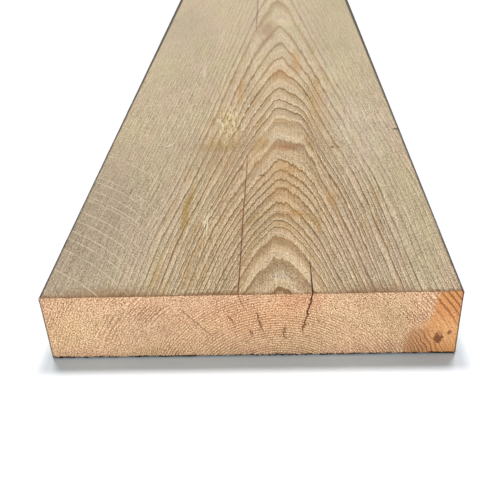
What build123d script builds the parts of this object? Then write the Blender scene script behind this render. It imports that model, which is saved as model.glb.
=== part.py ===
from build123d import *
import os

# Sawn softwood plank, 250 x 47 mm, with the drying checks of its cut end.
# Frame, in millimetres: X across the width, Y along the grain, +Z up.
# The origin is the middle of the underside, which lies flat on the floor.
# The end with the checks faces -Y; the other end is cut clean.

# Driving dimensions of the sawn section and the length it was cut to
LENGTH = 2400.0
WIDTH = 250.0
THICKNESS = 47.0
ARRIS_RADIUS = 0.8  # long sawn edges, rubbed by handling

# Heart of the log: it lies outside the plank, under the underside
PITH_OFFSET = 20.0  # from the middle of the width, towards +X
PITH_DROP = 35.0  # below the underside

# Surface checks open in the top face and run in from the cut end.
# Each is a cleft: its mouth on the top face, its keel along a ray to the pith.
SPLIT_OFFSET_SHARE = 0.150  # of the width, from its middle
SPLIT_DEPTH_SHARE = 0.56  # of the thickness
SPLIT_MOUTH = 1.1
SPLIT_RUN = 34.0  # along the grain

HAIRLINE_OFFSET_SHARE = -0.025
HAIRLINE_DEPTH_SHARE = 0.26
HAIRLINE_MOUTH = 0.6
HAIRLINE_RUN = 190.0

# Heart checks open in the end grain alone, each a slit along a ray to the pith.
# Shares: place across the width, then where it starts and stops below the top face.
HEART_CHECK_SHARES = [
    (-0.163, 0.22, 0.70),
    (-0.051, 0.33, 0.52),
    (-0.005, 0.53, 0.72),
    (0.016, 0.27, 0.60),
    (0.083, 0.49, 0.75),
]
HEART_CHECK_GAPE = 0.8  # widest opening, half way along the slit
HEART_CHECK_RUN = 12.0  # along the grain

CUT_GROWTH_SHARE = 0.2  # how far every cutter reaches past the face that it opens

END_Y = -LENGTH / 2
PITH = Vector(PITH_OFFSET, END_Y, -PITH_DROP)
ALONG_GRAIN = Vector(0, 1, 0)


def sawn_blank():
    """The sawn section, its arrises rubbed round, carried along the grain."""
    section = Plane.XZ * Pos(0, THICKNESS / 2) * RectangleRounded(WIDTH, THICKNESS, ARRIS_RADIUS)
    return extrude(section, LENGTH / 2, both=True)


def on_end(across_share, below_share):
    """A point of the cut end, from its shares of the width and of the thickness."""
    return Vector(across_share * WIDTH, END_Y, (1 - below_share) * THICKNESS)


def down_the_ray(start, below_share):
    """Where the ray from a point of the cut end to the pith is that share below the top face."""
    ray = PITH - start
    fall = start.Z - (1 - below_share) * THICKNESS
    return start + ray * (fall / -ray.Z)


def pyramid(base, apex, fixed_point):
    """A pyramid on a base outline, grown about a point of its keel, which keeps its walls in place."""
    growth = 1 + CUT_GROWTH_SHARE
    base = [fixed_point + (corner - fixed_point) * growth for corner in base]
    apex = fixed_point + (apex - fixed_point) * growth
    outline = make_face(Polyline(*base, close=True))
    return loft([outline, Vertex(*apex)], ruled=True)


def surface_check(offset_share, depth_share, mouth, run):
    """Cutter of a cleft that is deepest at the cut end and runs out in the top face."""
    middle = on_end(offset_share, 0)
    keel = down_the_ray(middle, depth_share)
    lip = Vector(mouth / 2, 0, 0)
    run_out = middle + ALONG_GRAIN * run
    return pyramid([middle - lip, keel, middle + lip], run_out, (keel + run_out) / 2)


def heart_check(across_share, start_share, stop_share):
    """Cutter of a slit in the end grain that closes at both its ends and inside the plank."""
    outer = on_end(across_share, start_share)
    inner = down_the_ray(outer, stop_share)
    middle = (outer + inner) / 2
    lip = (inner - outer).cross(ALONG_GRAIN).normalized() * (HEART_CHECK_GAPE / 2)
    closing = middle + ALONG_GRAIN * HEART_CHECK_RUN
    return pyramid([outer, middle + lip, inner, middle - lip], closing, closing)


plank = sawn_blank()
plank -= surface_check(SPLIT_OFFSET_SHARE, SPLIT_DEPTH_SHARE, SPLIT_MOUTH, SPLIT_RUN)
plank -= surface_check(HAIRLINE_OFFSET_SHARE, HAIRLINE_DEPTH_SHARE, HAIRLINE_MOUTH, HAIRLINE_RUN)
for shares in HEART_CHECK_SHARES:
    plank -= heart_check(*shares)

os.makedirs("parts", exist_ok=True)
export_step(plank, "parts/plank.step")
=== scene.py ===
from math import radians

import bpy
import numpy as np
from mathutils import Matrix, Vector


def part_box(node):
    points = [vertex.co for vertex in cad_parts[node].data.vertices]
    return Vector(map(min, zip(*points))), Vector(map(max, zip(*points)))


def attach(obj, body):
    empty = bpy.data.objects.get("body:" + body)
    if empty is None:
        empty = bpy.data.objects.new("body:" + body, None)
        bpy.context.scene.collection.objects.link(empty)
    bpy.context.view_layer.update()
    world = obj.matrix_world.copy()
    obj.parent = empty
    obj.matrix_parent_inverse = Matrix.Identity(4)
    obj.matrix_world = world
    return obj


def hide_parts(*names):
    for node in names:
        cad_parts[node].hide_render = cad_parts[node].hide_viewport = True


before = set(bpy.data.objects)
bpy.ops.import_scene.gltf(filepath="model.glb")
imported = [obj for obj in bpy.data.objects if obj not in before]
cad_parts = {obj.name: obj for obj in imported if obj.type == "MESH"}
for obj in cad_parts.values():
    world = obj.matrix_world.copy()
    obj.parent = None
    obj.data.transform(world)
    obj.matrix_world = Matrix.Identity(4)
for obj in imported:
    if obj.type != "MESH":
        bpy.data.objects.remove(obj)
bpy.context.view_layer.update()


# The plank: one length of softwood, sawn from the log just above its heart and then dried.
# It is all one piece. Its surface is carried from the checked end to the clean end station by
# station, with the saw's relief on the long faces and the drying checks open at one end.

MM = 0.001
low, high = np.array(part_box("plank"))
WIDTH, LENGTH, THICKNESS = high - low
CHECKED_END, TOP = low[1], high[2]
ARRIS = 0.8 * MM


def smooth(value, start, stop):
    """Rises from 0 at start to 1 at stop along the cubic 3t2 - 2t3, and is flat beyond them."""
    t = np.clip((value - start) / (stop - start), 0, 1)
    return t * t * (3 - 2 * t)


HEART_X, HEART_DEPTH = 20 * MM, 82 * MM  # at the checked end, below the top face
HEART_SWAY, SWAY_MIDDLE, SWAY_EASE = 2.1 * MM, 98 * MM, 42 * MM  # how it strays along the plank

# Where each year's arch peaks on the top face, from the checked end
ARCH_PEAKS = np.array([8, 39, 65, 76, 85, 94, 110, 133, 147, 163, 181, 222, 271, 296, 318, 354,
                       416, 458, 518, 602, 748, 830]) * MM
FIRST_YEAR = 50  # count of the first of those rings
INNER_RING, OUTER_RING = 6 * MM, 5.5 * MM  # growth in each of the rings before and after them

# Growth along the crest of the arches, out along their legs, and in towards the heart
QUICK_RISE, QUICK_EASE, SLOW_RISE, SLOW_EASE = 37 * MM, 302 * MM, 144 * MM, 2000 * MM
LEG_SLOPE, LEG_ROUND, LEG_BEND = 0.148, 1.2 * MM, 124 * MM
FLARE, FLARE_WIDTH, FLARE_RUN = 27.4 * MM, 118 * MM, 59 * MM  # legs spread near the checked end
INWARD_SLOPE = 2.8

# A bulge of the log, which gives the arches a shoulder on the right
BULGE_X, BULGE_FROM_END = 42.5 * MM, 251 * MM
BULGE_HALF_WIDTH, BULGE_HALF_LENGTH, BULGE_HEIGHT = 9 * MM, 105 * MM, 3.4 * MM


def crest_growth(from_end):
    """Growth along the crest of the arches: a quick rise near the end on a slow one, as tanh goes."""
    return QUICK_RISE * np.tanh(from_end / QUICK_EASE) + SLOW_RISE * np.tanh(from_end / SLOW_EASE)


def years_at(x, from_end, below_top):
    """Growth rings: a point's ring is followed round the heart to where it comes out at the top.
    There growth rises along the crest and out from it, by a rounded slope, a square and a flare
    that fades along the plank, less a bell curve at the bulge. The arches' peaks turn it to years."""
    heart_x = HEART_X + HEART_SWAY * np.tanh((from_end - SWAY_MIDDLE) / SWAY_EASE)
    radius = np.hypot(x - heart_x, HEART_DEPTH - below_top)
    inward = np.minimum(radius - HEART_DEPTH, 0)
    out = np.sqrt(np.maximum(radius**2 - HEART_DEPTH**2, 0))
    legs = LEG_SLOPE * (np.hypot(out, LEG_ROUND) - LEG_ROUND) + out**2 / LEG_BEND
    flare = FLARE * out**2 / (out**2 + FLARE_WIDTH**2) / (1 + (from_end / FLARE_RUN)**2)
    off_x = (x - BULGE_X) / BULGE_HALF_WIDTH
    off_y = (from_end - BULGE_FROM_END) / BULGE_HALF_LENGTH
    bulge = BULGE_HEIGHT * np.exp(-(off_x**2 + off_y**2))
    growth = crest_growth(from_end) + legs + flare + INWARD_SLOPE * inward - bulge
    peaks = crest_growth(ARCH_PEAKS)
    years = np.interp(growth, peaks, FIRST_YEAR + np.arange(len(peaks)))
    before, after = np.minimum(growth - peaks[0], 0), np.maximum(growth - peaks[-1], 0)
    return years + before / INNER_RING + after / OUTER_RING


# Two surface checks open in the top face and lean in towards the heart
SPLIT_X, SPLIT_MOUTH, SPLIT_DEPTH, SPLIT_RUN = 37.5 * MM, 0.6 * MM, 26.3 * MM, 34 * MM
HAIRLINE_X, HAIRLINE_MOUTH, HAIRLINE_DEPTH = -6.25 * MM, 0.3 * MM, 12.2 * MM
HAIRLINE_RUN = 190 * MM
HAIRLINE_AGAIN, AGAIN_OPEN = np.array([580, 640, 740, 800]) * MM, 0.45  # it opens once more, and less
PARTED = 1.0 * MM  # half the space between a check's columns where it is shut
NARROWEST = 0.4  # share of its mouth that a check keeps as it runs out

# Five heart checks open in the end grain alone: place across, start and stop depth, gape
HEART_CHECKS = np.array([
    (-40.75, 10.3, 32.9, 0.10),
    (-12.75, 15.5, 24.4, 0.10),
    (-1.25, 24.9, 33.8, 0.12),
    (4.0, 12.7, 28.2, 0.20),
    (20.75, 23.0, 35.3, 0.10),
]) * MM
HEART_CHECK_RUN = 12 * MM


def ray_top(x, below_top):
    """Where the ray from the heart through a point of the checked end comes out at the top."""
    return HEART_X + (x - HEART_X) * HEART_DEPTH / (HEART_DEPTH - below_top)


check_x, check_start, check_stop, check_gape = HEART_CHECKS.T
heart_keels = ray_top(check_x, check_start)
check_middle = (check_start + check_stop) / 2
heart_lips = check_gape / 2 * HEART_DEPTH / (HEART_DEPTH - check_middle)
keels = np.array([SPLIT_X, HAIRLINE_X, *heart_keels])
lips = np.array([SPLIT_MOUTH / 2, HAIRLINE_MOUTH / 2, *heart_lips])

# Columns across the width, rows up the thickness, and stations along the length, which are close
# together near the checked end
COLUMN_STEP, ROWS = 2.6 * MM, 22
even = np.linspace(ARRIS - WIDTH / 2, WIDTH / 2 - ARRIS, round(WIDTH / COLUMN_STEP))
clear = np.abs(even[:, None] - keels).min(1) > COLUMN_STEP / 2
checked_columns = np.concatenate([keels - lips, keels, keels + lips])
columns = np.sort(np.concatenate([[-WIDTH / 2], even[clear], checked_columns, [WIDTH / 2]]))
rows = np.concatenate([[0], np.linspace(ARRIS, THICKNESS - ARRIS, ROWS - 1), [THICKNESS]])
stations = np.concatenate([
    np.linspace(0, 60, 30, endpoint=False),
    np.linspace(60, 760, 150, endpoint=False),
    np.linspace(760, LENGTH / MM, 110),
]) * MM
last_column, last_row, last_station = len(columns) - 1, len(rows) - 1, len(stations) - 1
keel_columns = np.searchsorted(columns, keels)

# The way round the section: underside, right edge, top face, left edge
around_column = np.concatenate([
    np.arange(last_column), np.full(last_row, last_column),
    np.arange(last_column, 0, -1), np.zeros(last_row, int),
])
around_row = np.concatenate([
    np.zeros(last_column, int), np.arange(last_row),
    np.full(last_column, last_row), np.arange(last_row, 0, -1),
])
on_top, on_bottom = around_row == last_row, around_row == 0
on_left, on_right = around_column == 0, around_column == last_column

FAN_WHOLE, FAN_NONE = 72 * MM, 104 * MM


def leaning(column_x, below_top):
    """Columns lean along rays to the heart, as the checks do, and stand upright near the edges."""
    fan = 1 - smooth(np.abs(column_x - HEART_X), FAN_WHOLE, FAN_NONE)
    return column_x + (HEART_X - column_x) * below_top / HEART_DEPTH * fan


def opening(from_end):
    """How far open the split and the hairline are along the plank, from 0 shut to 1 at the end."""
    split_open = np.clip(1 - from_end / SPLIT_RUN, 0, 1)
    shares = [1, 0, 0, AGAIN_OPEN, AGAIN_OPEN, 0]
    return split_open, np.interp(from_end, [0, HAIRLINE_RUN, *HAIRLINE_AGAIN], shares)


draws = np.random.default_rng(47)

# Saw relief, cut into the faces so that the plank never outgrows its sawn size
BLADE_RADIUS, BLADE_CENTRE_X = 200 * MM, 238 * MM  # a round blade, which stood beside each edge
SAW_PITCH, SAW_DEPTH, EDGE_PITCH = 22 * MM, 0.16 * MM, 13.2 * MM
SWELL_DEPTH = 0.25 * MM
RELIEF_FADE = 4 * MM  # how near the arrises it dies away


def saw_stroke(x, from_end):
    """Which stroke of the blade passed here: arcs about a centre beside the nearer edge, each a
    little farther along Y than the last, and straight across where the blade didn't reach."""
    reach = BLADE_RADIUS**2 - (BLADE_CENTRE_X - np.abs(x))**2
    return from_end - np.sqrt(np.maximum(reach, 0))


def face_relief(x, from_end, turn):
    """Depth below a sawn face: the blade's ripple, deeper towards the edges, on a slow swell."""
    stroke = saw_stroke(x, from_end) / SAW_PITCH * 2 * np.pi + turn
    ripple = 0.5 + 0.5 * np.sin(stroke + 0.9 * np.sin(stroke / 3.7))
    swell = 0.5 + 0.5 * np.sin(x * 75 + from_end * 11 + turn) * np.sin(from_end * 17 - x * 31)
    return SAW_DEPTH * ripple * (0.3 + 0.7 * (2 * x / WIDTH)**2) + SWELL_DEPTH * swell


# Knocks on the long arrises, in metres: from the checked end, side of the plank, length and depth
KNOCKS = [(0.242, 1, 0.005, 0.0022), (0.113, -1, 0.007, 0.0015), (0.93, 1, 0.012, 0.002),
          (1.52, -1, 0.016, 0.0025), (2.06, 1, 0.009, 0.002), (2.27, -1, 0.007, 0.0018)]
UNDERSIDE_SHIFT = 0.4  # how much nearer the checked end the same knocks lie on the underside
ARRIS_WEAR = 0.12 * MM


def arris_knocks(from_end, side):
    """Depth of the dents along one arris: a bell curve for each knock, over a faint unevenness."""
    dents = [depth * np.exp(-((from_end - place) / length)**2)
             for place, knock_side, length, depth in KNOCKS if knock_side == side]
    return sum(dents) + ARRIS_WEAR * (1 + np.sin(from_end * 90 + side) * np.sin(from_end * 37))


# Long faces, as one array of stations by points round the section
from_end = stations[:, None]
column_x = columns[around_column][None, :]
below = np.broadcast_to((THICKNESS - rows)[around_row], (len(stations), len(around_row))).copy()
x = leaning(column_x, below)
SHUT_EASE = 7  # stations over which a check's lips draw apart where it is shut
surface_checks = list(zip(
    opening(stations), (SPLIT_MOUTH, HAIRLINE_MOUTH), (SPLIT_DEPTH, HAIRLINE_DEPTH)
))
for check, (share_open, mouth, depth) in enumerate(surface_checks):
    shut = np.convolve(share_open == 0, np.ones(SHUT_EASE) / SHUT_EASE, mode="same")
    half = (mouth / 2 * (NARROWEST + (1 - NARROWEST) * share_open)) * (1 - shut) + PARTED * shut
    keel = np.flatnonzero(on_top & (around_column == keel_columns[check]))[0]
    below[:, keel] = depth * share_open
    x[:, keel] = leaning(keels[check], depth * share_open)
    x[:, keel - 1] = keels[check] + half
    x[:, keel + 1] = keels[check] - half

# Relief fades out within a few millimetres of the arrises, where the knocks take over
away_from_edge = smooth(WIDTH / 2 - np.abs(x), 0, RELIEF_FADE)
z = THICKNESS - below
z -= np.where(on_top, face_relief(x, from_end, 0.0) * away_from_edge, 0)
z += np.where(on_bottom, face_relief(x, LENGTH - from_end, 2.0) * away_from_edge, 0)
edge_ripple = 0.5 + 0.5 * np.sin(from_end * 2 * np.pi / EDGE_PITCH + z * 40)
edge_relief = SAW_DEPTH * edge_ripple * smooth(np.minimum(z, THICKNESS - z), 0, RELIEF_FADE)
x += np.where(on_left, edge_relief, 0) - np.where(on_right, edge_relief, 0)

corner_cut = ARRIS * (1 - np.sqrt(0.5))
for side, on_side in ((-1, on_left), (1, on_right)):
    for sense, on_face in ((1, on_top), (-1, on_bottom)):
        corner = np.flatnonzero(on_side & on_face)
        cut = corner_cut + arris_knocks(from_end + (sense < 0) * UNDERSIDE_SHIFT, side)
        x[:, corner] -= side * cut
        z[:, corner] -= sense * cut

# The cut end: its lower arris is chipped where the saw broke through, its upper one barely
CHIP_DEPTH, CHIP_LENGTH, UPPER_CHIP = 1.3 * MM, 0.7, 0.15 * MM  # length as a share of depth
chip = CHIP_DEPTH * draws.random(len(columns))**3
z[0] += np.where(on_bottom, chip[around_column], 0)
y = np.broadcast_to(CHECKED_END + from_end, x.shape).copy()
y[0] += np.where(on_bottom, CHIP_LENGTH * chip[around_column], 0)
z[0] -= np.where(on_top & (below[0] == 0), UPPER_CHIP * draws.random(len(around_column)), 0)

CROOK = 0.6 * MM  # how far a heart check strays from its ray
crooks = draws.normal(0, CROOK, (len(HEART_CHECKS), len(rows)))


def end_grid(station, checked):
    """Inside of a cut end: columns by rows on rays to the heart. At the checked end the columns of
    the surface checks start at their keels, and the heart checks stray and are pushed in."""
    grid_below = np.broadcast_to(THICKNESS - rows, (len(columns), len(rows))).copy()
    grid_y = np.full(grid_below.shape, CHECKED_END + stations[station])
    stray = np.zeros(grid_below.shape)
    if checked:
        top_of_column = np.zeros((len(columns), 1))
        top_of_column[keel_columns[:len(surface_checks)], 0] = SPLIT_DEPTH, HAIRLINE_DEPTH
        grid_below = top_of_column + (1 - top_of_column / THICKNESS) * grid_below
        heart_columns = keel_columns[len(surface_checks):]
        for side in (-1, 0, 1):
            stray[heart_columns + side] = crooks
        along = (grid_below[heart_columns].T - check_start) / (check_stop - check_start)
        grid_y[heart_columns] += (HEART_CHECK_RUN * np.sin(np.pi * np.clip(along, 0, 1))).T
    grid_x = leaning(columns[:, None], grid_below) + stray
    return np.stack([grid_x, grid_y, THICKNESS - grid_below], -1)[1:-1, 1:-1]


loops = np.stack([x, y, z], -1)
checked_inside, clean_inside = end_grid(0, True), end_grid(last_station, False)
points = np.concatenate([part.reshape(-1, 3) for part in (loops, checked_inside, clean_inside)])


def quads_of(grid):
    """The corners of each square of a grid, in turn, as one row of four for each square."""
    corners = np.stack([grid[:-1, :-1], grid[1:, :-1], grid[1:, 1:], grid[:-1, 1:]], 2)
    return corners.reshape(-1, *corners.shape[2:])


def end_index(loop, first_inside):
    """Points of a cut end, columns by rows: the station's own loop as its rim, and the inside."""
    grid = np.empty((len(columns), len(rows)), int)
    grid[around_column, around_row] = loop
    inside = (len(columns) - 2, len(rows) - 2)
    grid[1:-1, 1:-1] = first_inside + np.arange(np.prod(inside)).reshape(inside)
    return grid


loop_index = np.arange(loops.shape[0] * loops.shape[1]).reshape(loops.shape[:2])
long_faces = quads_of(np.column_stack([loop_index, loop_index[:, 0]]))
checked_faces = quads_of(end_index(loop_index[0], loop_index.size))
clean_faces = quads_of(end_index(loop_index[-1], loop_index.size + checked_inside[..., 0].size))

SHARP_ANGLE = radians(32)
shape = bpy.data.meshes.new("sawn_plank")
shape.from_pydata(points, [], np.concatenate([long_faces, checked_faces, clean_faces[:, ::-1]]))
years = years_at(points[:, 0], points[:, 1] - CHECKED_END, TOP - points[:, 2])
shape.attributes.new("years", "FLOAT", "POINT").data.foreach_set("value", years.astype(np.float32))
cut_across = np.arange(len(shape.polygons)) >= len(long_faces)
shape.polygons.foreach_set("material_index", cut_across.astype(np.int32))
shape.polygons.foreach_set("use_smooth", np.ones(len(shape.polygons), bool))
shape.set_sharp_from_angle(angle=SHARP_ANGLE)

# Its map: the long faces unrolled round the section, with the two ends side by side above them
LONG_FACES_SHARE, ENDS_FROM = 0.80, 0.82
END_GAP = 0.02


def flat_map(u, v):
    """A map's places for a grid: one list of places across it, and one along it."""
    return np.stack(np.meshgrid(u, v, indexing="ij"), -1)


round_x, round_z = (np.append(each, each[0]) for each in (columns[around_column], rows[around_row]))
girth = np.concatenate([[0], np.cumsum(np.hypot(np.diff(round_x), np.diff(round_z)))])
end_u = (0.5 - END_GAP / 2) * (columns / WIDTH + 0.5)
end_v = ENDS_FROM + (1 - ENDS_FROM) * rows / THICKNESS
places = np.concatenate([
    quads_of(flat_map(LONG_FACES_SHARE * stations / LENGTH, girth / girth[-1])[..., ::-1]),
    quads_of(flat_map(end_u, end_v)),
    quads_of(flat_map(end_u + 0.5 + END_GAP / 2, end_v))[:, ::-1],
])
shape.uv_layers.new(name="OFBake").data.foreach_set("uv", places.astype(np.float32).ravel())

plank = bpy.data.objects.new("sawn_plank", shape)
bpy.context.collection.objects.link(plank)


# Its two finishes share one growth: the sawn faces, dulled by weather and treatment, and the
# end grain, fresh and peach coloured where the saw last crossed it.

class Wire:
    """One value in a finish. Arithmetic on wires lays the Math nodes that work it out."""

    def __init__(self, tree, socket):
        self.tree = tree
        self.socket = socket

    def math(self, operation, *others):
        node = self.tree.nodes.new("ShaderNodeMath")
        node.operation = operation
        for place, value in zip(node.inputs, (self, *others)):
            feed(self.tree, place, value)
        return Wire(self.tree, node.outputs[0])

    def __add__(self, other):
        return self.math("ADD", other)

    def __sub__(self, other):
        return self.math("SUBTRACT", other)

    def __mul__(self, other):
        return self.math("MULTIPLY", other)

    def __truediv__(self, other):
        return self.math("DIVIDE", other)

    def __pow__(self, other):
        return self.math("POWER", other)

    __radd__ = __add__

    def size(self):
        """The value without its sign."""
        return self.math("ABSOLUTE")

    def most(self, other):
        """The greater of two values."""
        return self.math("MAXIMUM", other)


def feed(tree, place, value):
    """Links a wire to a socket, or writes a plain value there."""
    if isinstance(value, Wire):
        tree.links.new(value.socket, place)
    else:
        place.default_value = value


def step(value, start, stop):
    """Goes smoothly from 0 where the value is at start to 1 where it is at stop."""
    node = value.tree.nodes.new("ShaderNodeMapRange")
    node.interpolation_type = "SMOOTHSTEP"
    for name, setting in (("Value", value), ("From Min", start), ("From Max", stop)):
        feed(value.tree, node.inputs[name], setting)
    return Wire(value.tree, node.outputs[0])


def joined(across, along, up):
    """A place made of three values."""
    node = across.tree.nodes.new("ShaderNodeCombineXYZ")
    for socket, value in zip(node.inputs, (across, along, up)):
        feed(across.tree, socket, value)
    return Wire(across.tree, node.outputs[0])


def moved(place, weights, shift):
    """A place with each axis weighted and then shifted."""
    node = place.tree.nodes.new("ShaderNodeVectorMath")
    node.operation = "MULTIPLY_ADD"
    for socket, value in zip(node.inputs, (place, weights, shift)):
        feed(place.tree, socket, value)
    return Wire(place.tree, node.outputs[0])


def noise_at(place, size, detail, shift):
    """The noise node of a place, in lumps of this size along X, Y and Z."""
    noise = place.tree.nodes.new("ShaderNodeTexNoise")
    noise.inputs["Scale"].default_value = 1.0
    noise.inputs["Detail"].default_value = detail
    feed(place.tree, noise.inputs["Vector"], moved(place, [1 / each for each in size], [shift] * 3))
    return noise


def cloud(place, size, detail=2.0, shift=0.0):
    """Noise about the middle value 0, in lumps of this size along X, Y and Z."""
    return Wire(place.tree, noise_at(place, size, detail, shift).outputs["Fac"]) - 0.5


def ragged(place, size, reach):
    """A place pushed about by noise, in lumps of this size, by up to half the reach along each axis."""
    push = Wire(place.tree, noise_at(place, size, 2.0, 4.0).outputs["Color"])
    return moved(push, reach, moved(place, (1, 1, 1), [-each / 2 for each in reach]))


def spot(place, centre, radii):
    """1 at the centre of an ellipse, falling smoothly to 0 at its rim."""
    weights = [1 / each for each in radii]
    node = place.tree.nodes.new("ShaderNodeVectorMath")
    node.operation = "LENGTH"
    feed(place.tree, node.inputs[0],
         moved(place, weights, [-at * weight for at, weight in zip(centre, weights)]))
    return step(Wire(place.tree, node.outputs["Value"]), 1.0, 0.15)


def chance(value):
    """A number from 0 to 1 that is the same wherever the value is the same."""
    node = value.tree.nodes.new("ShaderNodeTexWhiteNoise")
    node.noise_dimensions = "1D"
    feed(value.tree, node.inputs["W"], value)
    return Wire(value.tree, node.outputs["Value"])


def blend(share, first, second):
    """Two colours laid one over the other, the second by its share."""
    node = share.tree.nodes.new("ShaderNodeMix")
    node.data_type = "RGBA"
    for place, value in zip((node.inputs[0], node.inputs[6], node.inputs[7]), (share, first, second)):
        feed(share.tree, place, value)
    return Wire(share.tree, node.outputs[2])


def shaded(colour, brightness):
    """A colour made lighter or darker."""
    node = colour.tree.nodes.new("ShaderNodeVectorMath")
    node.operation = "SCALE"
    feed(colour.tree, node.inputs[0], colour)
    feed(colour.tree, node.inputs["Scale"], brightness)
    return Wire(colour.tree, node.outputs[0])


def screen(red, green, blue):
    """A colour as a screen shows it, 0 to 255, turned into linear light."""
    values = np.array([red, green, blue]) / 255
    linear = np.where(values > 0.04045, ((values + 0.055) / 1.055)**2.4, values / 12.92)
    return (*linear, 1.0)


def new_finish(name):
    """An empty finish, with a wire for the place on the plank."""
    finish = bpy.data.materials.new(name)
    finish.use_nodes = True
    place = finish.node_tree.nodes.new("ShaderNodeTexCoord")
    return finish, Wire(finish.node_tree, place.outputs["Object"])


def measures(place):
    """How far a place lies across from the middle, from the checked end, and up from the floor."""
    node = place.tree.nodes.new("ShaderNodeSeparateXYZ")
    feed(place.tree, node.inputs[0], place)
    across, along, up = (Wire(place.tree, node.outputs[axis]) for axis in "XYZ")
    return across, along - CHECKED_END, up


def years_grown(place):
    """The years of growth at a place, from the mesh's own attribute."""
    node = place.tree.nodes.new("ShaderNodeAttribute")
    node.attribute_name = "years"
    return Wire(place.tree, node.outputs["Fac"])


def finished(finish, colour, roughness, relief):
    """Ends a finish: its colour, its roughness and its relief, in millimetres, on the shader."""
    tree = finish.node_tree
    surface = tree.nodes["Principled BSDF"]
    surface.inputs["Specular IOR Level"].default_value = 0.22
    bump = tree.nodes.new("ShaderNodeBump")
    bump.inputs["Distance"].default_value = MM
    feed(tree, bump.inputs["Height"], relief)
    tree.links.new(bump.outputs[0], surface.inputs["Normal"])
    feed(tree, surface.inputs["Base Color"], colour)
    feed(tree, surface.inputs["Roughness"], roughness)
    return finish


ANY_DEPTH = 1.0  # a spot's half size into the wood, in metres, so that depth hardly matters


def top_spot(place, x, from_end, half_width, half_length):
    """A spot of the top face, by its place across and from the checked end, in millimetres."""
    centre = (x * MM, CHECKED_END + from_end * MM, TOP)
    return spot(place, centre, (half_width * MM, half_length * MM, ANY_DEPTH))


# Painted shade: dark brown inside the checks, and the dark of the arrises, part dirt and part painted
# shade
INSIDE_CHECK_SHADE = screen(122, 76, 48)
GRIME_AND_SHADE = screen(60, 52, 45)

# Stains of the top face: place across and from the checked end, half width, half length, in
# millimetres, then the colour and how much of it shows
TOP_STAINS = [
    (-112, 80, 60, 185, screen(175, 155, 130), 0.82),  # dull where it lay in the open
    (-104, 600, 60, 190, screen(186, 168, 142), 0.50),
    (24, 130, 22, 85, screen(196, 146, 84), 0.30),  # resin in the heart of the arches
    (22, 400, 16, 34, screen(188, 140, 86), 0.45),
    (57, 300, 14, 130, screen(188, 142, 82), 0.42),
    (41, 440, 8, 75, screen(190, 140, 84), 0.45),
    (-18, 345, 5, 60, screen(186, 142, 84), 0.55),
    (-47, 108, 3, 50, screen(168, 132, 66), 0.75),
    (9, 585, 18, 80, screen(160, 126, 92), 0.55),
    (30, 96, 11, 9, screen(182, 132, 70), 0.45),
    (46, 76, 5, 24, screen(184, 140, 74), 0.45),
    (56, 112, 6, 32, screen(186, 142, 78), 0.40),
    (28, 166, 13, 10, screen(184, 134, 76), 0.40),
    (-56, 24, 4, 26, screen(182, 138, 76), 0.45),
    (-40, 30, 4, 28, screen(182, 140, 80), 0.40),
    (25, 210, 16, 12, screen(170, 116, 74), 0.80),  # an arch filled with late wood
    (84, 245, 46, 150, screen(222, 204, 178), 0.36),  # paler on the right
    (-26, 262, 15, 66, screen(206, 174, 110), 0.50),  # torn grain
    (-30, 214, 30, 20, screen(178, 142, 80), 0.52),
    (12, 212, 92, 19, screen(166, 138, 108), 0.28),  # where the feed rollers stopped
    (108, 80, 22, 120, screen(194, 182, 140), 0.30),  # green of the treatment
    (98, 450, 26, 170, screen(204, 192, 152), 0.30),
    (100, 690, 54, 240, screen(190, 172, 138), 0.55),
    (80, 50, 55, 110, screen(192, 168, 150), 0.22),  # greyer near the cut end
    (-100, 400, 22, 120, screen(196, 184, 146), 0.25),  # green once more, on the left
    (-59, 415, 2.2, 60, screen(222, 206, 180), 0.60),  # streaks of clean early wood
    (-47, 560, 1.8, 36, screen(222, 206, 180), 0.45),
    (76, 430, 2.0, 70, screen(220, 204, 178), 0.45),
    (-86, 0, 52, 15, screen(156, 120, 86), 0.75),  # brown of the cut end
    (74, 0, 32, 14, screen(140, 102, 74), 0.65),
    (18, 3, 12, 7, screen(160, 124, 94), 0.40),
    (33, 8, 6, 9, screen(160, 120, 95), 0.55),
    (19, 19, 9, 8, screen(210, 194, 168), 0.50),  # clean early wood in the first arch
    (20, 47, 15, 8, screen(192, 164, 132), 0.35),  # late wood of the second
    (-28, 182, 26, 36, screen(182, 148, 114), 0.35),  # brown below the torn grain
    (90, 490, 42, 140, screen(190, 172, 138), 0.38),  # dull on the right, farther along
    (20, 233, 17, 13, screen(196, 180, 154), 0.40),  # clean early wood above the filled arch
    (-92.3, 134, 1.1, 4.5, screen(76, 58, 42), 0.75),  # small dark pits and a nick
    (64, 207.5, 2.2, 3, screen(66, 50, 36), 0.80),
    (6, 157, 4, 3, screen(90, 66, 44), 0.70),
    (122, 242, 5, 2.5, screen(52, 42, 36), 0.90),
]
LOOSE_STAIN, PIT = 16, 6  # half lengths past which a rim is ragged, and up to which it is sharp

# Rings whose late wood is broad and brown: count, share of its brown, share of its dark line lost
BROAD_RINGS = [(50, 0.34, 0.75), (51, 0.55, 0.75), (56, 0.5, 0.1), (57, 0.4, 0.1), (60, 0.3, 0.8),
               (61, 0.05, 0.75)]

# Colours of the weathered faces, with painted shade at the split's lips and between torn fibres, and a
# painted highlight on torn fibres
DULL_CREAM, GREEN_CREAM, WARM_CREAM = screen(207, 183, 154), screen(204, 186, 150), screen(208, 176, 137)
SPRING_CREAM, GOLD, LATE_BROWN = screen(222, 202, 167), screen(188, 150, 92), screen(160, 122, 82)
BROWN_BAND, GOLDEN_BAND = screen(172, 144, 110), screen(180, 144, 98)
DARK_LINE, GOLDEN_LINE = screen(110, 84, 48), screen(130, 90, 42)
GRAIN_BROWN, END_BROWN, SPLIT_LIPS_SHADE = screen(148, 116, 70), screen(120, 80, 44), screen(74, 48, 34)
TORN_PALE_AND_HIGHLIGHT, TORN_SHADE = screen(234, 218, 182), screen(134, 102, 56)
STROKE_PALE, STROKE_DARK = screen(226, 208, 178), screen(128, 106, 80)

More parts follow.
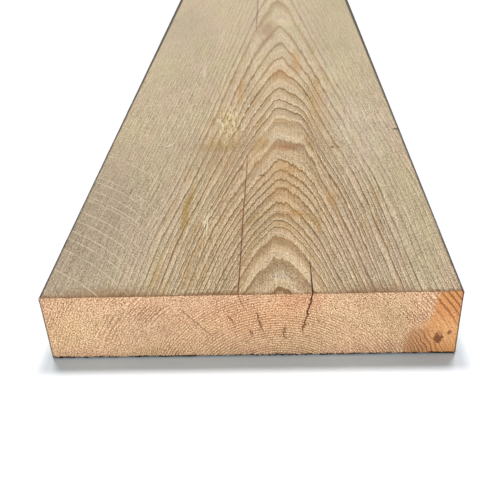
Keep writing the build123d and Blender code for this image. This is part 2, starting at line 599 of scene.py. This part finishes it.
# Strokes of the blade that show near the checked end, pale on the left and dark on the right
STROKES = np.array([100, 37, -3, -11, -25, -35.5, -40, -58.5, -72, -86, -96, -109.5, -133]) * MM


def sawn_face():
    """Weathered long faces: rings, fibres, stains, the blade's pale strokes and a brown end."""
    finish, place = new_finish("sawn_face")
    across, from_end, up = measures(place)
    growth = years_grown(place)
    upper = step(up, TOP - 2.5 * MM, TOP - 1.0 * MM)
    to_end = (from_end - LENGTH / 2).size() * -1 + LENGTH / 2

    # Rings, pushed about by slow noise and toothed by fine noise, most 0.1 to 0.3 m from an end
    far = step(to_end, 300 * MM, 620 * MM)
    ring = growth + cloud(place, (38 * MM, 500 * MM, 38 * MM)) * 0.7
    ring = ring + cloud(place, (7 * MM, 90 * MM, 7 * MM), detail=3) * 0.5
    crest = step((across - HEART_X).size(), 30 * MM, 10 * MM)
    teeth = step(to_end, 10 * MM, 110 * MM) * 0.28 - far * 0.30 + 0.15
    teeth = teeth * (crest * step(to_end, 180 * MM, 230 * MM) * -0.6 + 1.0)
    ring = ring + cloud(place, (1.7 * MM, 60 * MM, 1.7 * MM)) * teeth

    # Late wood at the end of each year: a soft band, and a dark line that ends it sharply
    part, year = ring.math("FRACT"), ring.math("FLOOR")
    luck, mood, breadth = chance(year), chance(year + 0.37), chance(year + 0.71)
    late_band = step(part, breadth * -0.4 + 0.6, 0.9) * step(part, 1.0, 0.96)
    broad_rings = [(year.math("COMPARE", count, 0.25), *shares) for count, *shares in BROAD_RINGS]
    broad = sum(match * brown for match, brown, lost in broad_rings)
    faint = sum(match * lost for match, brown, lost in broad_rings) * crest * -1 + 1.0
    broad = broad * crest * (step(to_end, 150 * MM, 205 * MM) * (crest - 1.0) * 0.8 + 1.0)
    thin = crest * (step(to_end, 120 * MM, 260 * MM) * 0.08 + 0.03)
    late_line = step(part, thin - far * 0.28 + 0.70, crest * 0.05 + 0.87)
    late_line = late_line * step(part, 0.995, far * -0.16 + 0.95) * faint

    # How far the rings stand out: most in the middle of the width, near an end, and on the right
    middle = step((across - HEART_X).size() + from_end * 0.09, 108 * MM, 72 * MM)
    edge_face = step(across.size(), WIDTH / 2 - 1.0 * MM, WIDTH / 2 - 0.4 * MM)
    contrast = (luck.most(crest * 0.75) * 0.45 + 0.65) * (far * -0.42 + 1.0)
    contrast = contrast * (middle.most(edge_face * 0.5) * 0.61 + 0.39)
    strong = top_spot(place, 84, 60, 62, 130).most(top_spot(place, 58, 265, 28, 150))
    contrast = contrast * (strong * 0.4 + 1.0) * (step(to_end, 130 * MM, 240 * MM) * -0.14 + 1.0)

    # Fibres and threads along the grain, grit and flecks, and slow changes of tone and hue
    fibre = cloud(place, (0.6 * MM, 26 * MM, 0.6 * MM), detail=3)
    grit = cloud(place, (0.6 * MM, 1.8 * MM, 0.6 * MM), detail=1)
    fleck = cloud(place, (1.4 * MM, 5 * MM, 1.4 * MM))
    strand = cloud(place, (1.3 * MM, 36 * MM, 1.3 * MM), shift=7.0)
    thread = cloud(joined(ring * 5.5, from_end / (60 * MM), up / MM), (1, 1, 1))
    golden = cloud(joined(ring * 1.1, from_end / (50 * MM), up / MM), (1, 1, 1), shift=5.0)
    gold = step(golden, 0.04, 0.2)
    tone = cloud(place, (46 * MM, 210 * MM, 46 * MM), detail=3)
    hue = cloud(place, (16 * MM, 90 * MM, 16 * MM), shift=2.0)
    warm = top_spot(place, 15, 90, 88, 520)

    # Colour of the wood itself, year by year
    early_wood = blend(step(hue, -0.14, 0.14), DULL_CREAM, GREEN_CREAM)
    early_wood = blend(warm * 0.85, early_wood, WARM_CREAM)
    band_colour = blend(mood, BROWN_BAND, GOLDEN_BAND)
    line_colour = blend(mood, DARK_LINE, GOLDEN_LINE)
    spring_wood = step(part, 0.45, 0.05) * contrast * (far * -0.9 + 1.0)
    colour = blend(spring_wood * 0.3, early_wood, SPRING_CREAM)
    colour = blend(late_band * contrast * 0.6, colour, band_colour)
    half_line = step(part, 0.32, 0.45) * step(part, 0.6, 0.5) * step(chance(year + 0.93), 0.1, 0.5)
    half_line = half_line * (crest * -1 + 1.0) * step(to_end, 420 * MM, 200 * MM)
    colour = blend(gold * middle * (far * -0.6 + 0.6), colour, GOLD)
    colour = blend(half_line * contrast * 0.6, colour, line_colour)
    colour = blend(step(part, 0.4, 0.85) * broad, colour, LATE_BROWN)
    colour = blend(late_line * contrast * 0.95, colour, line_colour)

    # Stains, the long ones with a rim that is ragged along the grain
    loose_place = ragged(place, (9 * MM, 40 * MM, 9 * MM), (9 * MM, 40 * MM, 0))
    for *outline, stain, share in TOP_STAINS:
        half_length = outline[-1]
        mark = top_spot(loose_place if half_length > LOOSE_STAIN else place, *outline)
        if half_length <= PIT:
            mark = step(mark, 0.2, 0.7)
        colour = blend(mark * upper * share, colour, stain)

    # Light and dark of the grain, brown where it is darkest, and where it is torn, pale fibre with a
    # painted highlight on it and painted shade between the shreds
    dull = step(to_end, 640 * MM, 120 * MM) * -0.05 + 0.905
    rough = far * -1.5 + 2.2
    streaks = (fibre * 0.9 + strand * 0.4 + thread * 0.9) * (far * -0.5 + 1.0)
    grain = streaks + grit * rough + fleck * 0.6 + tone * 0.3 + 1.03
    colour = shaded(colour, grain * dull)
    colour = blend(step(grain, 1.0, 0.6) * 0.22, colour, GRAIN_BROWN)
    torn = top_spot(loose_place, -26, 270, 14, 62).most(top_spot(place, -32, 84, 4.5, 26)) * upper
    shred = cloud(place, (1.1 * MM, 12 * MM, 1.1 * MM), shift=11.0)
    colour = blend(torn * step(shred, 0.0, 0.14) * 0.9, colour, TORN_PALE_AND_HIGHLIGHT)
    colour = blend(torn * step(shred, -0.05, -0.16) * 0.65, colour, TORN_SHADE)

    # Strokes of the blade, as saw_stroke has them, faint all along and plain near the checked end
    beside = across.size() * -1 + BLADE_CENTRE_X
    stroke = from_end - (beside * beside * -1 + BLADE_RADIUS**2).most(0.0)**0.5
    weak_stroke = cloud(joined(stroke, 0.0, 0.0), (7 * MM, 1, 1), detail=1)
    broken = step(cloud(place, (14 * MM, 14 * MM, 14 * MM), detail=4, shift=3.0), -0.14, 0.08)
    scratch = step(weak_stroke, 0.14, 0.24) * broken * 0.35
    for passed in STROKES:
        bright = step((stroke + fleck * 0.8 * MM - float(passed)).size(), 0.75 * MM, 0.25 * MM)
        scratch = scratch.most(bright * upper * (broken * 0.45 + 0.45))
    scratch = scratch * step(across.size(), 54 * MM, 86 * MM)
    leftwards = step(across, 40 * MM, -40 * MM)
    colour = blend(scratch * leftwards * 0.72, colour, STROKE_PALE)
    colour = blend(scratch * (leftwards * -1 + 1.0) * 0.28, colour, STROKE_DARK)

    # Brown where the end was cut, and a dark line along the arrises, part dirt and part painted shade of
    # the edges
    browned = step(to_end + fleck * 5 * MM + tone * 6 * MM, 4.5 * MM, -0.5 * MM)
    colour = blend(browned * 0.8, colour, END_BROWN)
    grime_and_shade_edge = step(to_end, 60 * MM, 900 * MM) * -3.2 * MM + WIDTH / 2 - 2.3 * MM
    grime_and_shade = step(across.size() + fleck * 1.6 * MM, grime_and_shade_edge, grime_and_shade_edge + 1.5 * MM)
    grime_and_shade = grime_and_shade * step((up - TOP / 2).size(), TOP / 2 - 1.8 * MM, TOP / 2 - 0.8 * MM)
    colour = blend(grime_and_shade * 0.9, colour, GRIME_AND_SHADE)

    # The hairline, the lips of the split and the inside of both, painted dark as the shade in the checks
    wavy = across + cloud(place, (60 * MM, 30 * MM, 60 * MM), detail=3, shift=6.0) * 1.6 * MM
    hair_open = step((from_end - 690 * MM).size(), 140 * MM, 60 * MM) * 0.6
    hair_open = hair_open.most(step(from_end, 215 * MM, 150 * MM))
    hairline_shade = step((wavy - HAIRLINE_X).size(), (far * 0.7 + 0.65) * MM, (far * 0.2 + 0.15) * MM)
    hairline_shade = hairline_shade * hair_open * upper
    colour = blend(hairline_shade * 0.85, colour, INSIDE_CHECK_SHADE)
    split_lips_shade = step((across - SPLIT_X).size(), 0.85 * MM, 0.3 * MM) * upper
    split_lips_shade = split_lips_shade * step(from_end, SPLIT_RUN + 4 * MM, SPLIT_RUN - 22 * MM)
    colour = blend(split_lips_shade * 0.8, colour, SPLIT_LIPS_SHADE)
    inside = step(up, TOP - 0.7 * MM, TOP - 1.4 * MM) * step(up, 2 * MM, 3 * MM)
    inside = inside * step(across.size(), WIDTH / 2 - 2 * MM, WIDTH / 2 - 3 * MM)
    colour = blend(inside, colour, INSIDE_CHECK_SHADE)

    relief = fibre * 0.2 + grit * 0.12 + fleck * 0.06 + late_line * contrast * 0.05 + scratch * 0.1
    return finished(finish, colour, fleck * 0.2 + 0.82, relief)


# Stains of the checked end: place across and depth below the top, half width, half depth, in
# millimetres, then the colour and how much of it shows
END_STAINS = [
    (8, 16, 48, 22, screen(238, 176, 126), 0.50),  # reddish middle
    (30, 3, 24, 12, screen(210, 138, 94), 0.45),
    (-66, 24, 30, 22, screen(200, 168, 138), 0.40),  # duller to the left and right of it
    (84, 18, 26, 26, screen(206, 178, 132), 0.62),
    (-114, 24, 16, 24, screen(226, 184, 134), 0.45),  # warmer by the left edge
    (101, 37, 11, 16, screen(178, 126, 82), 0.60),  # brown patch
    (117, 30, 15, 20, screen(228, 172, 118), 0.65),  # orange round the resin
    (113.5, 33.8, 4.2, 7.2, screen(104, 62, 36), 0.92),  # resin, notched at its top, and a drop of it
    (114.0, 29.6, 2.4, 6.0, screen(206, 148, 98), 0.75),
    (119.5, 30.5, 2.4, 2.0, screen(110, 66, 36), 0.80),
]
LOOSE_BLOT, SHARP_BLOT = 5, 11  # half widths past which a rim is loose, and up to which it is sharp
RAYS = [(-74.5, 20.4, 28.2), (-105.8, 13.7, 19.0)]  # two rays that show but stay shut

# Colours of the cut ends, with painted shade for the checks and, with dirt, along the arrises
CREAM, PEACH = screen(227, 190, 147), screen(223, 180, 143)
PALE_SAPWOOD, SAPWOOD = screen(214, 166, 122), screen(208, 138, 76)
RING_LINE, SAPWOOD_LINE = screen(140, 92, 60), screen(128, 70, 30)
CELL_PALE, CELL_DARK = screen(252, 226, 188), screen(138, 90, 56)
CHECK_SHADE_AND_STAIN, END_GRIME_AND_SHADE = screen(112, 62, 34), screen(50, 38, 28)


def end_spot(place, x, below_top, half_width, half_depth):
    """A spot of the checked end, by its place across and below the top, in millimetres."""
    centre = (x * MM, CHECKED_END, TOP - below_top * MM)
    return spot(place, centre, (half_width * MM, ANY_DEPTH, half_depth * MM))


def end_grain():
    """Fresh cross-cut: cells as dots in rows along the rings, checks, stains, a resinous corner."""
    finish, place = new_finish("end_grain")
    across, from_end, up = measures(place)
    growth = years_grown(place)
    below = up * -1 + TOP
    checked = step(from_end, LENGTH / 2, LENGTH / 2 - MM)

    # Rings, and the wood's cells as dots in rows along them
    ring = growth * 1.2 + cloud(place, (30 * MM, 30 * MM, 30 * MM)) * 0.9
    ring = ring + cloud(place, (2.6 * MM, 30 * MM, 2.6 * MM)) * 0.35
    part, year = ring.math("FRACT"), ring.math("FLOOR")
    luck = chance(year)
    angle = (across - HEART_X).math("ARCTAN2", below * -1 + HEART_DEPTH)
    dots = cloud(joined(angle * 130, ring * 2.2, 0.0), (1, 1, 1), detail=1)
    pores = cloud(place, (0.55 * MM, 0.55 * MM, 0.55 * MM), detail=1, shift=8.0)
    tone = cloud(place, (32 * MM, 32 * MM, 20 * MM), shift=9.0)
    clear = step(cloud(place, (22 * MM, 22 * MM, 22 * MM), shift=5.0), -0.14, 0.12) * 0.7 + 0.3
    clear = clear.most(end_spot(place, 22, 22, 75, 17)).most(end_spot(place, -60, 13, 27, 14))
    clear = clear * (end_spot(place, -110, 39, 45, 34) * -0.6 + 1.0)
    late = step(part, 0.40, 0.72) * step(part, 1.0, 0.86)
    late = late * (luck * 0.4 + 0.7) * clear * (dots * 2.6 + pores * 2.6 + 1.0)

    # Sapwood in the right corner, beyond a slanting border, with wider rings in bold lines
    border = below * -0.22 + 111.5 * MM - step(below, 19 * MM, 26 * MM) * 6.5 * MM
    border = border - step(below, 24 * MM, 46 * MM) * 3 * MM
    border = border + cloud(place, (5 * MM, 5 * MM, 5 * MM)) * 6 * MM + dots * 4 * MM
    sapwood = step(across - border, -1.2 * MM, 1.4 * MM) * checked
    sap_part = (growth * 0.7 + cloud(place, (16 * MM, 16 * MM, 16 * MM)) * 0.2).math("FRACT")
    sap_late = step(sap_part, 0.55, 0.8) * step(sap_part, 1.0, 0.9) * (pores * 1.6 + 0.8)
    streaked = end_spot(place, 121, 4, 20, 27).most(end_spot(place, 103, 43, 19, 24))
    late = late * (sapwood * -0.8 + 1.0) + sap_late * sapwood * (streaked + 0.12)

    # Colour of the wood, its stains, its late wood and its cells
    base = blend(step(tone, -0.16, 0.16), CREAM, PEACH)
    loose_place = ragged(place, (7 * MM, 7 * MM, 7 * MM), (9 * MM, 0, 9 * MM))
    torn_place = ragged(place, (2 * MM, 2 * MM, 2 * MM), (4 * MM, 0, 4 * MM))
    sap_colour = blend(step(across, 101 * MM, 112 * MM), PALE_SAPWOOD, SAPWOOD)
    colour = blend(sapwood * 0.85, base, sap_colour)
    for *outline, stain, share in END_STAINS:
        half_width = outline[2]
        mark = end_spot(loose_place if half_width > LOOSE_BLOT else torn_place, *outline)
        if half_width <= SHARP_BLOT:
            mark = step(mark, 0.15, 0.6)
        colour = blend(mark * checked * share, colour, stain)
    late_colour = blend(sapwood, RING_LINE, SAPWOOD_LINE)
    colour = blend(late * (sapwood * 0.1 + 0.85), colour, late_colour)
    mottle = (dots * 2.6 + pores * 4.8) * (sapwood * -0.6 + 1.0)
    colour = shaded(colour, (mottle * 0.5 + tone * 0.2 + 1.20).most(0.4))
    colour = blend(step(mottle, 0.2, 0.8) * 0.34, colour, CELL_PALE)
    colour = blend(step(mottle, 0.0, -0.55) * 0.88, colour, CELL_DARK)

    # Checks and shut rays, each on its ray to the heart and painted dark, the checks' dark being
    # painted shade of their gaps: place at the top, start, stop, half width and how much of it shows
    jag = cloud(place, (3 * MM, 3 * MM, 3 * MM), detail=3, shift=1.0)
    cracks = [(SPLIT_X, -1 * MM, SPLIT_DEPTH + 4 * MM, 0.75 * MM, 0.9),
              (HAIRLINE_X, -1 * MM, HAIRLINE_DEPTH, 0.6 * MM, 0.45)]
    cracks += [(ray_top(x, start), start, stop, gape * 1.5 + 0.4 * MM, 0.8)
               for x, start, stop, gape in HEART_CHECKS]
    cracks += [(ray_top(x * MM, start * MM), start * MM, stop * MM, 0.6 * MM, 0.4)
               for x, start, stop in RAYS]
    for top_x, start, stop, half, share in cracks:
        top_x, start, stop, half = map(float, (top_x, start, stop, half))
        ray_x = below * ((HEART_X - top_x) / HEART_DEPTH) + top_x
        fading = step(below, start - 0.5 * MM, start + 2 * MM) * step(below, stop + MM, stop - 5 * MM)
        mask = step((across - ray_x + jag * 5 * MM).size(), half, half * 0.4) * fading
        colour = blend(mask * checked * share, colour, CHECK_SHADE_AND_STAIN)

    # Inside of the heart checks, painted dark as their shade, and a dark line along the lower arris and
    # the sides, part dirt and part painted shade
    to_end = (from_end - LENGTH / 2).size() * -1 + LENGTH / 2
    colour = blend(step(to_end, 0.8 * MM, 2.5 * MM), colour, INSIDE_CHECK_SHADE)
    lower = step(up + jag * 3.4 * MM + pores * 2.0 * MM, 1.9 * MM, 1.0 * MM)
    sides = step(across.size() + jag * MM, WIDTH / 2 - 1.2 * MM, WIDTH / 2 - 0.5 * MM) * 0.75
    colour = blend(lower.most(sides), colour, END_GRIME_AND_SHADE)

    relief = pores * 0.25 + dots * 0.25
    return finished(finish, colour, dots * 0.2 + 0.85, relief)


for finish in (sawn_face(), end_grain()):
    shape.materials.append(finish)
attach(plank, "root")
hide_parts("plank")


# Torn fibres: pale slivers that the saw lifted out of the top face and left lying on it.
# Each is the plank's own wood, still joined to it at the root, and tapers to a point.

# Root and tip, each as place across and from the checked end, then half the width, in millimetres
SLIVERS = [
    (-77.4, 215.4, -68.6, 223.0, 0.75),
    (-33.8, 91.0, -33.0, 96.0, 0.5), (-32.7, 77.4, -32.2, 81.6, 0.45), (-32.5, 67.0, -31.6, 70.6, 0.45),
    (-29.4, 98.0, -28.6, 102.8, 0.45), (-8.6, 303.5, -7.4, 311.0, 0.8), (-2.4, 287.5, -1.2, 295.0, 0.8),
    (-11.4, 245.4, -10.2, 251.6, 0.6), (-26.2, 272.0, -25.0, 279.0, 0.7),
]
TORN_CENTRE, TORN_REACH, TORN_SLIVERS = np.array([-24, 266]), np.array([13, 56]), 34
SLIVER_SUNK, SLIVER_LIFT = 0.5 * MM, 0.75 * MM
SLIVER_STATIONS, SLIVER_SIDES = 9, 6
SLIVER_FLAT, SLIVER_ROOT = 0.45, 0.06  # its height to its width, and its width at root and tip
STREAK_DULL, STREAK_PALE = screen(222, 206, 172), screen(246, 238, 218)

way = draws.random(TORN_SLIVERS) * 2 * np.pi
out = np.sqrt(draws.random(TORN_SLIVERS))
torn_root = TORN_CENTRE + np.stack([np.cos(way), np.sin(way)], 1) * out[:, None] * TORN_REACH
torn_run = np.stack([draws.uniform(-0.6, 2.2, TORN_SLIVERS), draws.uniform(3, 10, TORN_SLIVERS)], 1)
torn = np.column_stack([torn_root, torn_root + torn_run, draws.uniform(0.25, 0.6, TORN_SLIVERS)])
slivers = np.concatenate([SLIVERS, torn]) * MM

along = np.linspace(0, 1, SLIVER_STATIONS)[None, :, None]
turn = (np.arange(SLIVER_SIDES) * 2 * np.pi / SLIVER_SIDES)[None, None, :]
root_x, root_d, tip_x, tip_d, half_width = (each[:, None, None] for each in slivers.T)
length = np.hypot(tip_x - root_x, tip_d - root_d)
thick = half_width * (SLIVER_ROOT + (1 - SLIVER_ROOT) * np.sin(np.pi * along**0.8))
sideways = thick * np.cos(turn)
sliver_x = root_x + (tip_x - root_x) * along + sideways * (tip_d - root_d) / length
sliver_y = CHECKED_END + root_d + (tip_d - root_d) * along - sideways * (tip_x - root_x) / length
sliver_z = TOP - SLIVER_SUNK + SLIVER_LIFT * along + SLIVER_FLAT * thick * np.sin(turn)
sliver_points = np.stack(np.broadcast_arrays(sliver_x, sliver_y, sliver_z), -1)
index = np.arange(sliver_points[..., 0].size).reshape(sliver_points.shape[:3])
ahead = np.roll(index, -1, axis=2)
skins = np.stack([index[:, :-1], ahead[:, :-1], ahead[:, 1:], index[:, 1:]], -1).reshape(-1, 4)
caps = [*index[:, 0, ::-1].tolist(), *index[:, -1].tolist()]
sliver_shape = bpy.data.meshes.new("torn_fibres")
sliver_shape.from_pydata(sliver_points.reshape(-1, 3), [], [*skins.tolist(), *caps])
sliver_shape.polygons.foreach_set("use_smooth", np.ones(len(sliver_shape.polygons), bool))
torn_fibres = bpy.data.objects.new("torn_fibres", sliver_shape)
bpy.context.collection.objects.link(torn_fibres)


def torn_wood():
    """Dry clean fibre: cream, in fine streaks along the grain."""
    finish, place = new_finish("torn_wood")
    streak = cloud(place, (0.3 * MM, 4 * MM, 0.3 * MM), detail=3)
    colour = blend(step(streak, -0.15, 0.15), STREAK_DULL, STREAK_PALE)
    return finished(finish, colour, streak * 0.2 + 0.85, streak * 0.15)


sliver_shape.materials.append(torn_wood())
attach(torn_fibres, "root")


# The floor is a plain pale sheet, wide enough to reach past every view, and no part of the plank.
# In the shade of the checked end a bluer tint is painted on it, a painted shadow colour that cools the
# shade the peach end grain warms.

FLOOR_HALF = 30.0
FLOOR, SHADED_FLOOR = (0.945, 0.97, 0.99, 1), (0.84, 0.962, 1.0, 1)
floor_shape = bpy.data.meshes.new("floor")
floor_shape.from_pydata(
    [(-FLOOR_HALF, -FLOOR_HALF, 0), (FLOOR_HALF, -FLOOR_HALF, 0),
     (FLOOR_HALF, FLOOR_HALF, 0), (-FLOOR_HALF, FLOOR_HALF, 0)], [], [(0, 1, 2, 3)]
)
floor = bpy.data.objects.new("floor", floor_shape)
bpy.context.collection.objects.link(floor)
floor_finish, floor_place = new_finish("pale_floor")
floor_across, floor_along = measures(floor_place)[:2]
shade = step(floor_along, -17 * MM, -8 * MM) * step(floor_along, 60 * MM, 20 * MM)
shade = shade * step(floor_across.size(), 130 * MM, 116 * MM)
floor_surface = floor_finish.node_tree.nodes["Principled BSDF"]
feed(floor_finish.node_tree, floor_surface.inputs["Base Color"], blend(shade, FLOOR, SHADED_FLOOR))
floor_surface.inputs["Roughness"].default_value = 0.9
floor_surface.inputs["Specular IOR Level"].default_value = 0.0
floor_shape.materials.append(floor_finish)


# Studio light: a white sky all round, two soft lamps high behind the plank and one low in front.
# The sky is seen as white, and lights the plank more weakly and a little blue.

world = bpy.data.worlds.new("white_studio")
bpy.context.scene.world = world
world.use_nodes = True
sky = world.node_tree.nodes["Background"]
rays = world.node_tree.nodes.new("ShaderNodeLightPath")
seen = Wire(world.node_tree, rays.outputs["Is Camera Ray"])
seen = seen.most(Wire(world.node_tree, rays.outputs["Is Glossy Ray"]))
seen = seen.most(Wire(world.node_tree, rays.outputs["Is Transmission Ray"]))
SKY_LIGHT, SKY_COLOUR, WHITE = 0.235, (0.82, 0.98, 1.17, 1), (1, 1, 1, 1)
feed(world.node_tree, sky.inputs["Strength"], seen * (1 - SKY_LIGHT) + SKY_LIGHT)
feed(world.node_tree, sky.inputs["Color"], blend(seen, SKY_COLOUR, WHITE))


def soft_lamp(name, tilt, lean, strength, spread):
    """A distant lamp, tilted about X and leaned about Y from straight down, as wide as its spread."""
    lamp = bpy.data.lights.new(name, "SUN")
    lamp.energy, lamp.angle = strength, radians(spread)
    holder = bpy.data.objects.new(name, lamp)
    holder.rotation_euler = (radians(tilt), radians(lean), 0)
    bpy.context.collection.objects.link(holder)


soft_lamp("high_lamp_left", tilt=-16.5, lean=-7, strength=1.27, spread=10)
soft_lamp("high_lamp_right", tilt=-16.5, lean=7, strength=1.27, spread=10)
soft_lamp("front_lamp", tilt=80, lean=0, strength=1.7, spread=40)


# The camera stands in front of the checked end, over it, and looks down along the plank.
# Its place in metres, its turns in degrees and its lens were found from the plank's edges.

CAMERA_PLACE = (0.01881, -1.52967, 0.2861)
CAMERA_TURN, CAMERA_TILT, CAMERA_ROLL = 2.906, 57.754, -2.680
lens = bpy.data.cameras.new("camera")
lens.lens = 50.076
lens.sensor_width = 36
lens.clip_start = 0.01
camera = bpy.data.objects.new("camera", lens)
camera.matrix_world = (
    Matrix.Translation(CAMERA_PLACE)
    @ Matrix.Rotation(radians(CAMERA_TURN), 4, "Z")
    @ Matrix.Rotation(radians(CAMERA_TILT), 4, "X")
    @ Matrix.Rotation(radians(CAMERA_ROLL), 4, "Z")
)
bpy.context.collection.objects.link(camera)
bpy.context.scene.camera = camera
bpy.context.scene.view_settings.view_transform = "Standard"
